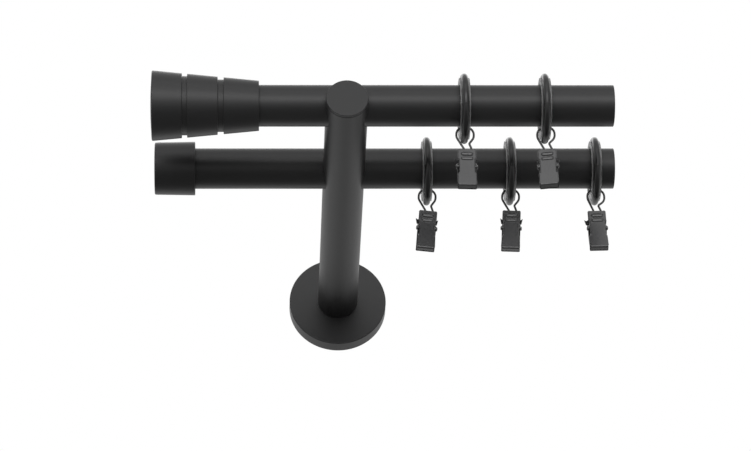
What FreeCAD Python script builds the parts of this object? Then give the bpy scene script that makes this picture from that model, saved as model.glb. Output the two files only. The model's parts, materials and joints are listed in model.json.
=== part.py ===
import FreeCAD, Part
import math
import os
import Sketcher

# Double curtain pole on one wall bracket
#
# Millimetres. The origin is the centre of the rose's back face, on the wall.
# X runs along the poles, Y into the wall (the room is at -Y) and Z up.
# One arm comes out of the wall and carries two poles in saddles cut into its top.
# Rings with a pale liner slide on the poles, and a clip hangs from each ring on a wire loop.

SIZES = {
    # Poles and where their axes lie
    "pole_diameter": 25.0,
    "pole_wall": 1.0,
    "pole_raise": 5.66,
    "front_reach": 240.0,
    "back_reach": 167.6,
    "front_pole_end": 160.4,
    "back_pole_end": 166.95,
    "pole_seat": 0.15,
    # Arm
    "arm_diameter": 25.6,
    "arm_wall": 2.2,
    "saddle_to_cap": 0.65,
    "arm_cap_diameter": 25.2,
    "arm_cap_thickness": 2.0,
    "arm_cap_stem": 2.4,
    "arm_cap_bevel": 0.35,
    "insert_length": 18.0,
    "insert_fit": 0.02,
    # Rose and the plate inside it
    "rose_diameter": 63.0,
    "rose_height": 9.7,
    "rose_face": 2.2,
    "rose_rim": 3.0,
    "rose_round": 0.6,
    "plate_thickness": 4.0,
    "plate_clearance": 0.25,
    "plate_hole": 4.6,
    "plate_hole_circle": 38.0,
    "thread_fit": 0.05,
    "arm_screw_diameter": 6.0,
    "arm_screw_length": 14.0,
    "arm_screw_head": 11.0,
    "arm_screw_head_height": 2.8,
    "arm_screw_hex": 3.0,
    "rim_screw_diameter": 3.0,
    "rim_screw_hex": 1.5,
    # Finial on the front pole
    "finial_tip": 116.5,
    "finial_length": 64.1,
    "finial_face_diameter": 42.3,
    "finial_mouth_diameter": 30.1,
    "finial_round": 1.0,
    "finial_dome": 0.8,
    "finial_socket": 38.0,
    "groove_depth": 1.55,
    "outer_groove_start": 18.0,
    "outer_groove_width": 3.2,
    "inner_groove_start": 39.4,
    "inner_groove_width": 3.6,
    # End cap on the back pole
    "cap_tip": 116.2,
    "cap_length": 24.8,
    "cap_closed_diameter": 32.2,
    "cap_open_diameter": 33.0,
    "cap_face": 3.0,
    "cap_round": 0.8,
    "socket_fit": 0.1,
    "pole_stop": 0.3,
    "lock_screw_diameter": 4.0,
    "lock_screw_hex": 2.0,
    "lock_screw_inset": 7.0,
    # Rings and liners
    "ring_radius": 19.1,
    "ring_wire": 4.2,
    "ring_seam": 0.15,
    "ring_seam_drop": 21.5,
    "liner_bore": 29.2,
    "liner_flange": 37.0,
    "liner_width": 5.9,
    "liner_bevel": 0.5,
    "liner_fit": 0.02,
    "ring_gap": 0.12,
    # Wire loop between ring and clip
    "loop_wire": 1.3,
    "loop_radius": 5.2,
    "loop_stretch": 0.8,
    "loop_fit": 0.2,
    "loop_drop": 22.65,
    "neck_out": 1.5,
    "neck_drop": 6.5,
    "neck_round": 0.9,
    "shoulder_drop": 10.2,
    "shoulder_round": 2.0,
    "left_leg": 1.6,
    "right_leg": 2.9,
    "eye_fit": 0.1,
    "eye_lead": 1.2,
    "eye_open": 40.0,
    # Clip
    "clip_width": 11.2,
    "clip_foot_width": 11.7,
    "clip_waist": 9.6,
    "clip_top": 10.6,
    "clip_foot": 15.4,
    "waist_top": 4.3,
    "waist_foot": 7.7,
    "waist_slope": 1.0,
    "clip_corner": 0.5,
    "sheet_metal": 0.6,
    "clip_setback": 3.5,
    "lip_depth": 3.5,
    "lip_width": 11.0,
    "tooth_depth": 0.6,
    "rib_length": 6.8,
    "rib_height": 1.7,
    "rib_rise": 0.35,
    "upper_rib": 7.1,
    "lower_rib": 3.7,
    "ear_height": 5.2,
    "ear_round": 1.8,
    "pin_diameter": 2.0,
    "pin_head": 2.7,
    "pin_head_thickness": 0.8,
    "pin_fit": 0.05,
    "jaw_fit": 0.08,
    "ear_gap": 0.3,
    "jaw_gap": 0.3,
    "web_gap": 0.98,
    "handle_height": 11.0,
    "handle_depth": 7.1,
    "handle_width": 12.9,
    "handle_notch": 1.3,
    "handle_flank": 4.2,
    "flank_slope": 1.0,
    "jaw_side_depth": 2.2,
    "jaw_side_height": 6.2,
    # Spring on the clip's pin
    "spring_wire": 0.7,
    "spring_fit": 0.15,
    "spring_pitch": 0.75,
    "spring_turns": 2.0,
    "spring_leg": 7.5,
    "spring_touch": 0.05,
    # Each ring and clip: place along its pole, lean of the loop and clip (foot to the left),
    # turn about the vertical, pitch of the clip on its pin (foot into the room), and how far
    # the clip's middle lies right of its loop's centre
    "place_1": 70.6,
    "place_2": 119.0,
    "place_3": 51.2,
    "place_4": 102.6,
    "place_5": 155.2,
    "lean_1": 1.4,
    "lean_2": -1.0,
    "lean_3": 5.5,
    "lean_4": 3.8,
    "lean_5": -0.8,
    "turn_1": 0.0,
    "turn_2": -8.0,
    "turn_3": 2.0,
    "turn_4": -3.0,
    "turn_5": -1.0,
    "pitch_1": 6.0,
    "pitch_2": 8.0,
    "pitch_3": 1.0,
    "pitch_4": 0.0,
    "pitch_5": 4.0,
    "offset_1": 0.95,
    "offset_2": 0.0,
    "offset_3": 1.3,
    "offset_4": 0.95,
    "offset_5": -0.5,
}

# The pole that each ring slides on
POLE_OF = {1: "front", 2: "front", 3: "back", 4: "back", 5: "back"}

RIB_POINTS = ("upper_rib", "lower_rib")
LIP_TEETH = 6
HANDLE_NOTCHES = 6
HEX_CORNERS = 6
SLOPE_STEPS = 4

# Rotations that stand a piece turned about its own Z where it belongs
ALONG_POLE = FreeCAD.Rotation(FreeCAD.Vector(0, 1, 0), 90)
INTO_ROOM = FreeCAD.Rotation(FreeCAD.Vector(1, 0, 0), 90)

DOC = FreeCAD.newDocument("double_curtain_pole")
PIECES = []


def make_sheet():
    """Spreadsheet with one named cell for each driving size."""
    sheet = DOC.addObject("Spreadsheet::Sheet", "dim")
    for row, (name, size) in enumerate(SIZES.items(), start=1):
        sheet.set(f"A{row}", name)
        sheet.set(f"B{row}", str(size))
        sheet.setAlias(f"B{row}", name)
    DOC.recompute()
    return sheet


DIM = make_sheet()

# Sizes that follow from the driving ones, as expressions on the sheet
POLE_R = "dim.pole_diameter / 2"
ARM_R = "dim.arm_diameter / 2"
ARM_BORE_R = "(dim.arm_diameter / 2 - dim.arm_wall)"
SADDLE_R = "(dim.pole_diameter / 2 + dim.pole_seat)"
ARM_END = f"(dim.front_reach + {SADDLE_R} + dim.saddle_to_cap + dim.arm_cap_stem)"
ARM_FRONT = f"({ARM_END} + dim.arm_cap_thickness)"
SOCKET_R = "(dim.pole_diameter / 2 + dim.socket_fit)"
ROSE_R = "dim.rose_diameter / 2"
ROSE_BORE_R = "(dim.rose_diameter / 2 - dim.rose_rim)"
PLATE_R = "(dim.rose_diameter / 2 - dim.rose_rim - dim.plate_clearance)"
SCREW_SEAT = "(dim.rose_height - dim.rose_face)"
RIM_SCREW_AT = "(dim.plate_thickness / 2)"
LINER_BORE_R = "dim.liner_bore / 2"
RING_Z = "(dim.pole_raise - dim.liner_bore / 2 + dim.pole_diameter / 2 + dim.ring_gap)"
LINER_SEAT_R = "(dim.ring_wire / 2 + dim.liner_fit)"
LOOP_R = "dim.loop_radius"
LOOP_REACH = "(dim.loop_radius - dim.loop_wire / 2 - dim.loop_fit)"
LINER_LIP = "(dim.liner_width / 2 - dim.liner_bevel)"
LOOP_Z = f"({RING_Z} - {LINER_BORE_R} - sqrt({LOOP_REACH} ^ 2 - {LINER_LIP} ^ 2))"
PIN_R = "dim.pin_diameter / 2"
FACE_BACK = "(dim.clip_setback - dim.sheet_metal)"
JAW_EAR_IN = "(dim.clip_waist / 2 + dim.ear_gap)"
JAW_EAR_OUT = "(dim.clip_waist / 2 + dim.ear_gap + dim.sheet_metal)"
EYE_R = "(dim.pin_diameter / 2 + dim.eye_fit + dim.loop_wire / 2)"
WEB_IN = f"({EYE_R} + dim.loop_wire / 2 + dim.web_gap)"
LIP_END = "(dim.clip_setback - dim.lip_depth)"
JAW_IN = f"(-{LIP_END} + dim.jaw_gap)"
KNEE = "dim.ear_round"
JAW_FOOT = "(dim.clip_foot + dim.sheet_metal)"
COIL_R = "(dim.pin_diameter / 2 + dim.spring_fit + dim.spring_wire / 2)"


def value(expression):
    """Number that an expression on the sheet comes to."""
    return float(DIM.evalExpression(str(expression)))


def web_in(z):
    """How far back the inner face of the clip's web lies, at a height below its knee."""
    return f"({WEB_IN} - ({KNEE} - ({z})) * ({WEB_IN} - {JAW_IN}) / ({KNEE} + {JAW_FOOT}))"


def handle_in(z):
    """How far back the inner face of the clip's handle lies, at a height above its knee."""
    return f"({WEB_IN} + (({z}) - {KNEE}) * (dim.handle_depth - {WEB_IN}) / (dim.handle_height - {KNEE}))"


def new_body(label):
    """Empty body, listed among the pieces under its label."""
    body = DOC.addObject("PartDesign::Body", label)
    body.Label = label
    PIECES.append(body)
    return body


def new_sketch(body, name, role):
    """Sketch on one of the body's own origin planes."""
    sketch = body.newObject("Sketcher::SketchObject", name)
    plane = next(item for item in body.Origin.OriginFeatures if item.Role == role)
    sketch.AttachmentSupport = [(plane, "")]
    sketch.MapMode = "FlatFace"
    return sketch


def bind(sketch, constraint, expression):
    """Add a dimension to a sketch and tie it to the sheet."""
    number = sketch.addConstraint(constraint)
    sketch.setExpression(f"Constraints[{number}]", str(expression))


def pin_down(sketch, edge, point, x, y):
    """Fix one point of a sketch by its two distances from the origin."""
    for kind, expression in (("DistanceX", x), ("DistanceY", y)):
        bind(sketch, Sketcher.Constraint(kind, -1, 1, edge, point, value(expression)), expression)


def arc_between(start, end, radius):
    """Arc from start to end, counter-clockwise for a positive radius; also says which end is which."""
    if radius < 0:
        arc, _ = arc_between(end, start, -radius)
        return arc, (2, 1)
    chord = end - start
    middle = (start + end) * 0.5
    rise = math.sqrt(max(radius ** 2 - (chord.Length / 2) ** 2, 0.0))
    across = FreeCAD.Vector(-chord.y, chord.x, 0).normalize()
    centre = middle + across * rise
    first = math.atan2(start.y - centre.y, start.x - centre.x)
    last = math.atan2(end.y - centre.y, end.x - centre.x)
    if last < first:
        last += 2 * math.pi
    circle = Part.Circle(centre, FreeCAD.Vector(0, 0, 1), radius)
    return Part.ArcOfCircle(circle, first, last), (1, 2)


def outline(body, name, role, corners, arcs=None, half_turns=None):
    """Closed outline through the corners. An edge named in arcs is an arc of that radius,
    counter-clockwise, or clockwise where its entry starts with a minus. An edge named in
    half_turns is a counter-clockwise half circle, whose centre is tied across its chord."""
    arcs = arcs or {}
    half_turns = half_turns or {}
    sketch = new_sketch(body, name, role)
    spots = [FreeCAD.Vector(value(x), value(y), 0) for x, y in corners]
    ends = []
    for edge, spot in enumerate(spots):
        following = spots[(edge + 1) % len(spots)]
        if edge in arcs:
            shape, order = arc_between(spot, following, value(arcs[edge]))
        elif edge in half_turns:
            shape, order = arc_between(spot, following, (following - spot).Length / 2)
        else:
            shape, order = Part.LineSegment(spot, following), (1, 2)
        sketch.addGeometry(shape, False)
        ends.append(order)
    for edge, (x, y) in enumerate(corners):
        before = (edge - 1) % len(corners)
        meeting = Sketcher.Constraint("Coincident", before, ends[before][1], edge, ends[edge][0])
        sketch.addConstraint(meeting)
        pin_down(sketch, edge, ends[edge][0], x, y)
    for edge, radius in arcs.items():
        size = radius.lstrip("-")
        bind(sketch, Sketcher.Constraint("Radius", edge, value(size)), size)
    for edge, (kind, across) in half_turns.items():
        bind(sketch, Sketcher.Constraint(kind, -1, 1, edge, 3, value(across)), across)
    return sketch


def circles(body, name, role, rounds):
    """Sketch of full circles, each given by its centre and radius."""
    sketch = new_sketch(body, name, role)
    for edge, (x, y, radius) in enumerate(rounds):
        centre = FreeCAD.Vector(value(x), value(y), 0)
        sketch.addGeometry(Part.Circle(centre, FreeCAD.Vector(0, 0, 1), value(radius)), False)
        pin_down(sketch, edge, 3, x, y)
        bind(sketch, Sketcher.Constraint("Radius", edge, value(radius)), radius)
    return sketch


def extrude(body, kind, sketch, name, length, backwards=False, both=False):
    """Pad or Pocket of a sketch, its length tied to the sheet."""
    feature = body.newObject(f"PartDesign::{kind}", name)
    feature.Profile = sketch
    feature.setExpression("Length", length)
    feature.Reversed = backwards
    if both:
        feature.SideType = "Symmetric"
    return feature


def revolve(body, sketch, name):
    """Full turn of a sketch about its vertical axis."""
    feature = body.newObject("PartDesign::Revolution", name)
    feature.Profile = sketch
    feature.ReferenceAxis = (sketch, ["V_Axis"])
    feature.Angle = 360
    return feature


def place(piece, x, y, z, rotation):
    """Put a piece at its place, which stays tied to the sheet."""
    spot = FreeCAD.Vector(value(x), value(y), value(z))
    piece.Placement = FreeCAD.Placement(spot, rotation)
    for axis, expression in zip("xyz", (x, y, z)):
        piece.setExpression(f"Placement.Base.{axis}", str(expression))


def turned(label, corners, arcs=None, role="XZ_Plane"):
    """Piece turned about its own Z; each corner is a radius and a height. Its seam lies in the
    plane of the role."""
    body = new_body(label)
    revolve(body, outline(body, f"{label}_section", role, corners, arcs), f"{label}_turn")
    return body


def hexagon(body, name, role, x, y, across):
    """Hexagon of a given width across its flats."""
    corners = []
    for corner in range(HEX_CORNERS):
        angle = 360 / HEX_CORNERS * corner
        corners.append((f"{x} + {across} / sqrt(3) * cos({angle})",
                        f"{y} + {across} / sqrt(3) * sin({angle})"))
    return outline(body, name, role, corners)


def wall_plate():
    """Disc that is screwed to the wall; the rose slides over it."""
    plate = turned("wall_plate", [
        ("0", "0"),
        (PLATE_R, "0"),
        (PLATE_R, "dim.plate_thickness"),
        ("0", "dim.plate_thickness"),
    ])
    half = "dim.plate_hole_circle / 2"
    holes = circles(plate, "plate_holes", "XY_Plane", [
        (half, "0", "dim.plate_hole / 2"),
        (f"-{half}", "0", "dim.plate_hole / 2"),
    ])
    extrude(plate, "Pocket", holes, "plate_screw_holes", "dim.plate_thickness", backwards=True)
    place(plate, "0", "0", "0", INTO_ROOM)


def wall_rose():
    """Cup that covers the wall plate, with a hole for the arm's screw and one for the rim screw."""
    rose = turned("wall_rose", [
        ("dim.arm_screw_diameter / 2 + dim.thread_fit", SCREW_SEAT),
        (ROSE_BORE_R, SCREW_SEAT),
        (ROSE_BORE_R, "0"),
        (ROSE_R, "0"),
        (ROSE_R, "dim.rose_height - dim.rose_round"),
        (f"{ROSE_R} - dim.rose_round", "dim.rose_height"),
        ("dim.arm_screw_diameter / 2 + dim.thread_fit", "dim.rose_height"),
    ], {4: "dim.rose_round"})
    hole = circles(rose, "rim_screw_hole", "XZ_Plane", [
        ("0", RIM_SCREW_AT, "dim.rim_screw_diameter / 2 + dim.thread_fit"),
    ])
    extrude(rose, "Pocket", hole, "rim_screw_bore", ROSE_R)
    place(rose, "0", "0", "0", INTO_ROOM)


def rose_grub_screw():
    """Screw through the rose's rim that bears on the wall plate."""
    length = "(dim.rose_rim + dim.plate_clearance - dim.thread_fit)"
    screw = new_body("rose_grub_screw")
    shank = circles(screw, "rim_screw_round", "XY_Plane", [("0", "0", "dim.rim_screw_diameter / 2")])
    extrude(screw, "Pad", shank, "rim_screw_shank", length)
    socket = hexagon(screw, "rim_screw_socket", "XY_Plane", "0", "0", "dim.rim_screw_hex")
    extrude(screw, "Pocket", socket, "rim_screw_drive", f"{length} / 2", backwards=True)
    place(screw, "0", f"-{RIM_SCREW_AT}", ROSE_R, FreeCAD.Rotation(FreeCAD.Vector(1, 0, 0), 180))


def arm_screw():
    """Screw from inside the rose into the arm's insert."""
    screw = turned("arm_screw", [
        ("0", f"{SCREW_SEAT} - dim.arm_screw_head_height"),
        ("dim.arm_screw_head / 2", f"{SCREW_SEAT} - dim.arm_screw_head_height"),
        ("dim.arm_screw_head / 2", SCREW_SEAT),
        ("dim.arm_screw_diameter / 2", SCREW_SEAT),
        ("dim.arm_screw_diameter / 2", f"{SCREW_SEAT} + dim.arm_screw_length"),
        ("0", f"{SCREW_SEAT} + dim.arm_screw_length"),
    ])
    socket = hexagon(screw, "arm_screw_socket", "XY_Plane", "0", "0", "dim.arm_screw_hex")
    extrude(screw, "Pocket", socket, "arm_screw_drive",
            f"{SCREW_SEAT} - dim.arm_screw_head_height / 3", backwards=True)
    place(screw, "0", "0", "0", INTO_ROOM)


def arm_base_insert():
    """Threaded plug fixed in the arm's wall end."""
    bore = "dim.arm_screw_diameter / 2 + dim.thread_fit"
    insert = turned("arm_base_insert", [
        (bore, "dim.rose_height"),
        (f"{ARM_BORE_R} - dim.insert_fit", "dim.rose_height"),
        (f"{ARM_BORE_R} - dim.insert_fit", "dim.rose_height + dim.insert_length"),
        (bore, "dim.rose_height + dim.insert_length"),
    ])
    place(insert, "0", "0", "0", INTO_ROOM)


def saddle(arm, name, reach):
    """U-shaped seat for a pole, cut across the arm from its top."""
    top = f"{ARM_R} + dim.pole_seat"
    section = outline(arm, f"{name}_section", "YZ_Plane", [
        ("dim.pole_raise", f"{reach} + {SADDLE_R}"),
        ("dim.pole_raise", f"{reach} - {SADDLE_R}"),
        (top, f"{reach} - {SADDLE_R}"),
        (top, f"{reach} + {SADDLE_R}"),
    ], half_turns={0: ("DistanceX", "dim.pole_raise")})
    extrude(arm, "Pocket", section, name, "dim.arm_diameter * 2", both=True)


def bracket_arm():
    """Round tube from the rose to the cap, with a saddle for each pole and its seam on top."""
    arm = turned("bracket_arm", [
        (ARM_BORE_R, "dim.rose_height"),
        (ARM_R, "dim.rose_height"),
        (ARM_R, ARM_END),
        (ARM_BORE_R, ARM_END),
    ], role="YZ_Plane")
    saddle(arm, "front_saddle", "dim.front_reach")
    saddle(arm, "back_saddle", "dim.back_reach")
    place(arm, "0", "0", "0", INTO_ROOM)


def arm_end_cap():
    """Disc that closes the arm's front, with a stem inside the tube."""
    stem_r = f"{ARM_BORE_R} - dim.insert_fit"
    rim_r = "dim.arm_cap_diameter / 2"
    cap = turned("arm_end_cap", [
        ("0", f"{ARM_END} - dim.arm_cap_stem"),
        (stem_r, f"{ARM_END} - dim.arm_cap_stem"),
        (stem_r, ARM_END),
        (rim_r, ARM_END),
        (rim_r, f"{ARM_FRONT} - dim.arm_cap_bevel"),
        (f"{rim_r} - dim.arm_cap_bevel", ARM_FRONT),
        ("0", ARM_FRONT),
    ])
    place(cap, "0", "0", "0", INTO_ROOM)


def pole(label, start, end, reach):
    """Round tube between two places along X."""
    tube = turned(label, [
        (f"{POLE_R} - dim.pole_wall", "0"),
        (POLE_R, "0"),
        (POLE_R, f"{end} - ({start})"),
        (f"{POLE_R} - dim.pole_wall", f"{end} - ({start})"),
    ])
    place(tube, start, f"-{reach}", "dim.pole_raise", ALONG_POLE)


FRONT_POLE_START = "(dim.finial_length - dim.finial_tip - dim.finial_socket + dim.pole_stop)"
BACK_POLE_START = "(dim.cap_face - dim.cap_tip + dim.pole_stop)"


def finial_radius(along):
    """Radius of the finial's cone at a distance from its face."""
    fall = "(dim.finial_face_diameter - dim.finial_mouth_diameter) / 2 / dim.finial_length"
    return f"(dim.finial_face_diameter / 2 - {fall} * ({along}))"


def groove_corners(start, width):
    """Four corners of one square groove round the cone."""
    end = f"{start} + {width}"
    floor = f"{finial_radius(f'{start} + {width} / 2')} - dim.groove_depth"
    return [(finial_radius(start), start), (floor, start), (floor, end), (finial_radius(end), end)]


def front_finial():
    """Turned cone with two grooves and a socket for the front pole."""
    edge = finial_radius("dim.finial_round")
    face_r = f"({edge} - dim.finial_round)"
    dome_r = f"(({face_r} ^ 2 + dim.finial_dome ^ 2) / (2 * dim.finial_dome))"
    corners = [
        ("0", "-dim.finial_dome"),
        (face_r, "0"),
        (edge, "dim.finial_round"),
    ]
    corners += groove_corners("dim.outer_groove_start", "dim.outer_groove_width")
    corners += groove_corners("dim.inner_groove_start", "dim.inner_groove_width")
    corners += [
        (finial_radius("dim.finial_length"), "dim.finial_length"),
        (SOCKET_R, "dim.finial_length"),
        (SOCKET_R, "dim.finial_length - dim.finial_socket"),
        ("0", "dim.finial_length - dim.finial_socket"),
    ]
    finial = turned("front_finial", corners, {0: dome_r, 1: "dim.finial_round"})
    lock_hole(finial, "dim.finial_length - dim.lock_screw_inset", "dim.finial_face_diameter / 2")
    place(finial, "-dim.finial_tip", "-dim.front_reach", "dim.pole_raise", ALONG_POLE)


def cap_radius(along):
    """Radius of the end cap at a distance from its closed face."""
    rise = "(dim.cap_open_diameter - dim.cap_closed_diameter) / 2 / dim.cap_length"
    return f"(dim.cap_closed_diameter / 2 + {rise} * ({along}))"


def back_end_cap():
    """Cup over the back pole's end."""
    edge = cap_radius("dim.cap_round")
    cap = turned("back_end_cap", [
        ("0", "0"),
        (f"{edge} - dim.cap_round", "0"),
        (edge, "dim.cap_round"),
        (cap_radius("dim.cap_length"), "dim.cap_length"),
        (SOCKET_R, "dim.cap_length"),
        (SOCKET_R, "dim.cap_face"),
        ("0", "dim.cap_face"),
    ], {1: "dim.cap_round"})
    lock_hole(cap, "dim.cap_length - dim.lock_screw_inset", "dim.cap_open_diameter / 2")
    place(cap, "-dim.cap_tip", "-dim.back_reach", "dim.pole_raise", ALONG_POLE)


def lock_hole(body, along, reach):
    """Threaded hole through the upper side of a socket, for its locking screw."""
    name = f"{body.Label}_lock"
    radius = "dim.lock_screw_diameter / 2 + dim.thread_fit"
    hole = circles(body, f"{name}_round", "YZ_Plane", [("0", along, radius)])
    extrude(body, "Pocket", hole, f"{name}_hole", reach)


def lock_screw(label, tip, along, radius, reach):
    """Grub screw from a socket's upper side down onto its pole."""
    length = f"({radius} - {POLE_R} - dim.socket_fit - dim.thread_fit)"
    screw = new_body(label)
    shank = circles(screw, f"{label}_round", "XY_Plane", [("0", "0", "dim.lock_screw_diameter / 2")])
    extrude(screw, "Pad", shank, f"{label}_shank", length)
    socket = hexagon(screw, f"{label}_socket", "XY_Plane", "0", "0", "dim.lock_screw_hex")
    extrude(screw, "Pocket", socket, f"{label}_drive", f"{length} / 2", backwards=True)
    place(screw, f"{along} - {tip}", f"-{reach}", f"dim.pole_raise + {radius} - dim.socket_fit",
          FreeCAD.Rotation(FreeCAD.Vector(1, 0, 0), 180))


def ring(k):
    """Round wire ring with a butt seam, hanging on its pole through the liner."""
    label = f"ring_{k}"
    body = new_body(label)
    section = circles(body, f"{label}_section", "XZ_Plane", [("dim.ring_radius", "0", "dim.ring_wire / 2")])
    revolve(body, section, f"{label}_turn")
    near = "(dim.ring_radius - dim.ring_wire)"
    far = "(dim.ring_radius + dim.ring_wire)"
    half = "dim.ring_seam / 2"
    down, side = "sin(dim.ring_seam_drop)", "cos(dim.ring_seam_drop)"
    slit = outline(body, f"{label}_slit", "XY_Plane", [
        (f"{near} * {down} - {half} * {side}", f"-{near} * {side} - {half} * {down}"),
        (f"{far} * {down} - {half} * {side}", f"-{far} * {side} - {half} * {down}"),
        (f"{far} * {down} + {half} * {side}", f"-{far} * {side} + {half} * {down}"),
        (f"{near} * {down} + {half} * {side}", f"-{near} * {side} + {half} * {down}"),
    ])
    extrude(body, "Pocket", slit, f"{label}_seam", "dim.ring_wire * 2", both=True)
    place(body, f"dim.place_{k}", f"-dim.{POLE_OF[k]}_reach", RING_Z, ALONG_POLE)


def ring_liner(k):
    """Pale channel that sits inside the ring and runs on the pole."""
    flange = "dim.liner_flange / 2"
    mouth = f"sqrt({LINER_SEAT_R} ^ 2 - (dim.ring_radius - {flange}) ^ 2)"
    half = "dim.liner_width / 2"
    liner = turned(f"ring_liner_{k}", [
        (LINER_BORE_R, f"-{LINER_LIP}"),
        (f"{LINER_BORE_R} + dim.liner_bevel", f"-{half}"),
        (flange, f"-{half}"),
        (flange, f"-{mouth}"),
        (flange, mouth),
        (flange, half),
        (f"{LINER_BORE_R} + dim.liner_bevel", half),
        (LINER_BORE_R, LINER_LIP),
    ], {3: f"-{LINER_SEAT_R}"})
    place(liner, f"dim.place_{k}", f"-dim.{POLE_OF[k]}_reach", RING_Z, ALONG_POLE)


def unit_rotation(k):
    """How the loop and clip of ring k are turned and leant."""
    turn = FreeCAD.Rotation(FreeCAD.Vector(0, 0, 1), value(f"dim.turn_{k}"))
    lean = FreeCAD.Rotation(FreeCAD.Vector(0, 1, 0), value(f"dim.lean_{k}"))
    return turn * lean


def clip_rotation(k):
    """How the clip of ring k stands: turned and leant with its loop, and pitched on its pin."""
    return unit_rotation(k) * FreeCAD.Rotation(FreeCAD.Vector(1, 0, 0), -value(f"dim.pitch_{k}"))


def loop_centre(k):
    """Where the loop of ring k hangs: the centre of its upper bend."""
    return f"dim.place_{k}", f"-dim.{POLE_OF[k]}_reach", LOOP_Z


def pin_centre(k):
    """Middle of the clip's pin, below the loop in the leant and turned frame."""
    x, y, z = loop_centre(k)
    aside = f"(dim.offset_{k} * cos(dim.lean_{k}) - dim.loop_drop * sin(dim.lean_{k}))"
    below = f"(dim.offset_{k} * sin(dim.lean_{k}) + dim.loop_drop * cos(dim.lean_{k}))"
    return f"{x} + {aside} * cos(dim.turn_{k})", f"{y} + {aside} * sin(dim.turn_{k})", f"{z} - {below}"


def tangent_points(centre, radius, spot, side):
    """Point where a line from spot touches a circle in the XZ plane; side is +1 or -1."""
    away = spot - centre
    angle = math.atan2(away.z, away.x)
    opening = math.acos(radius / math.hypot(away.x, away.z))
    direction = angle + side * opening
    return centre + FreeCAD.Vector(math.cos(direction), 0, math.sin(direction)) * radius


def rounded_path(points, radii):
    """Edges of a path with straight runs and an arc of each given radius at its inner points."""
    edges = []
    start = points[0]
    for before, corner, after, radius in zip(points, points[1:], points[2:], radii):
        incoming = (before - corner).normalize()
        outgoing = (after - corner).normalize()
        half = incoming.getAngle(outgoing) / 2
        first = corner + incoming * (radius / math.tan(half))
        last = corner + outgoing * (radius / math.tan(half))
        inward = (incoming + outgoing).normalize()
        middle = corner + inward * (radius / math.sin(half) - radius)
        edges.append(Part.makeLine(start, first))
        edges.append(Part.Arc(first, middle, last).toShape())
        start = last
    edges.append(Part.makeLine(start, points[-1]))
    return edges


def eye_edges(foot, pin):
    """Lead-in bend and open eye round the pin, at the lower end of a leg."""
    lead, eye_r = value("dim.eye_lead"), value(EYE_R)
    bend_centre = FreeCAD.Vector(foot.x, -lead, foot.z)
    touch = pin + (bend_centre - pin) * (eye_r / (lead + eye_r))
    swing = math.atan2(touch.z - bend_centre.z, touch.y - bend_centre.y)
    middle = bend_centre + FreeCAD.Vector(0, math.cos(swing / 2), math.sin(swing / 2)) * lead
    bend = Part.Arc(foot, middle, touch).toShape()
    first = math.atan2(touch.z - pin.z, touch.y - pin.y)
    last = math.radians(value("dim.eye_open")) + 2 * math.pi

    def on_eye(angle):
        return pin + FreeCAD.Vector(0, math.cos(angle), math.sin(angle)) * eye_r

    eye = Part.Arc(on_eye(first), on_eye((first + last) / 2), on_eye(last)).toShape()
    return [bend, eye]


def leg_edges(k, side):
    """One leg of the loop: from its bend, by neck and shoulder, to the eye on the pin."""
    offset = value(f"dim.offset_{k}")
    drop = value("dim.loop_drop")
    low_centre = FreeCAD.Vector(0, 0, -value("dim.loop_stretch"))
    radius = value(LOOP_R)
    x = offset + (value("dim.right_leg") if side > 0 else -value("dim.left_leg"))
    pin = FreeCAD.Vector(x, 0, -drop)
    lead, eye_r = value("dim.eye_lead"), value(EYE_R)
    foot = FreeCAD.Vector(x, 0, -drop + math.sqrt((lead + eye_r) ** 2 - lead ** 2))
    shoulder = FreeCAD.Vector(x, 0, -value("dim.shoulder_drop"))
    corners, radii = [shoulder, foot], [value("dim.shoulder_round")]
    if side > 0:
        corners.insert(0, FreeCAD.Vector(offset + value("dim.neck_out"), 0, -value("dim.neck_drop")))
        radii.insert(0, value("dim.neck_round"))
    touch = tangent_points(low_centre, radius, corners[0], side)
    return touch, rounded_path([touch] + corners, radii) + eye_edges(foot, pin)


def loop_path(k):
    """Whole centreline of the wire, from the left eye over the ring to the right eye."""
    radius, stretch = value(LOOP_R), value("dim.loop_stretch")
    left_touch, left_leg = leg_edges(k, -1)
    right_touch, right_leg = leg_edges(k, 1)
    low = FreeCAD.Vector(0, 0, -stretch)

    def lower_arc(touch, side):
        end = low + FreeCAD.Vector(side * radius, 0, 0)
        middle = ((touch - low) + (end - low)).normalize() * radius + low
        return Part.Arc(touch, middle, end).toShape()

    sides = [Part.makeLine(FreeCAD.Vector(side * radius, 0, -stretch), FreeCAD.Vector(side * radius, 0, 0))
             for side in (-1, 1)]
    top = Part.Arc(FreeCAD.Vector(-radius, 0, 0), FreeCAD.Vector(0, 0, radius),
                   FreeCAD.Vector(radius, 0, 0)).toShape()
    edges = left_leg + [lower_arc(left_touch, -1)] + sides + [top, lower_arc(right_touch, 1)] + right_leg
    return Part.Wire(Part.__sortEdges__(edges))


def wire_solid(path, diameter):
    """Round wire along a smooth path."""
    start = path.OrderedEdges[0]
    first = start.FirstParameter if start.Orientation == "Forward" else start.LastParameter
    spot, direction = start.valueAt(first), start.tangentAt(first)
    section = Part.Wire([Part.Circle(spot, direction, diameter / 2).toShape()])
    return path.makePipeShell([section], True, True)


def hanger(k):
    """Bent wire loop that hangs on the ring and holds the clip's pin in two eyes."""
    wire = DOC.addObject("Part::Feature", f"hanger_{k}")
    wire.Label = f"hanger_{k}"
    wire.Shape = wire_solid(loop_path(k), value("dim.loop_wire"))
    place(wire, *loop_centre(k), unit_rotation(k))
    PIECES.append(wire)


def mirrored_corners(corners):
    """Outline from its right half, listed from the foot up."""
    return list(corners) + [(f"-({x})", y) for x, y in reversed(corners)]


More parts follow.
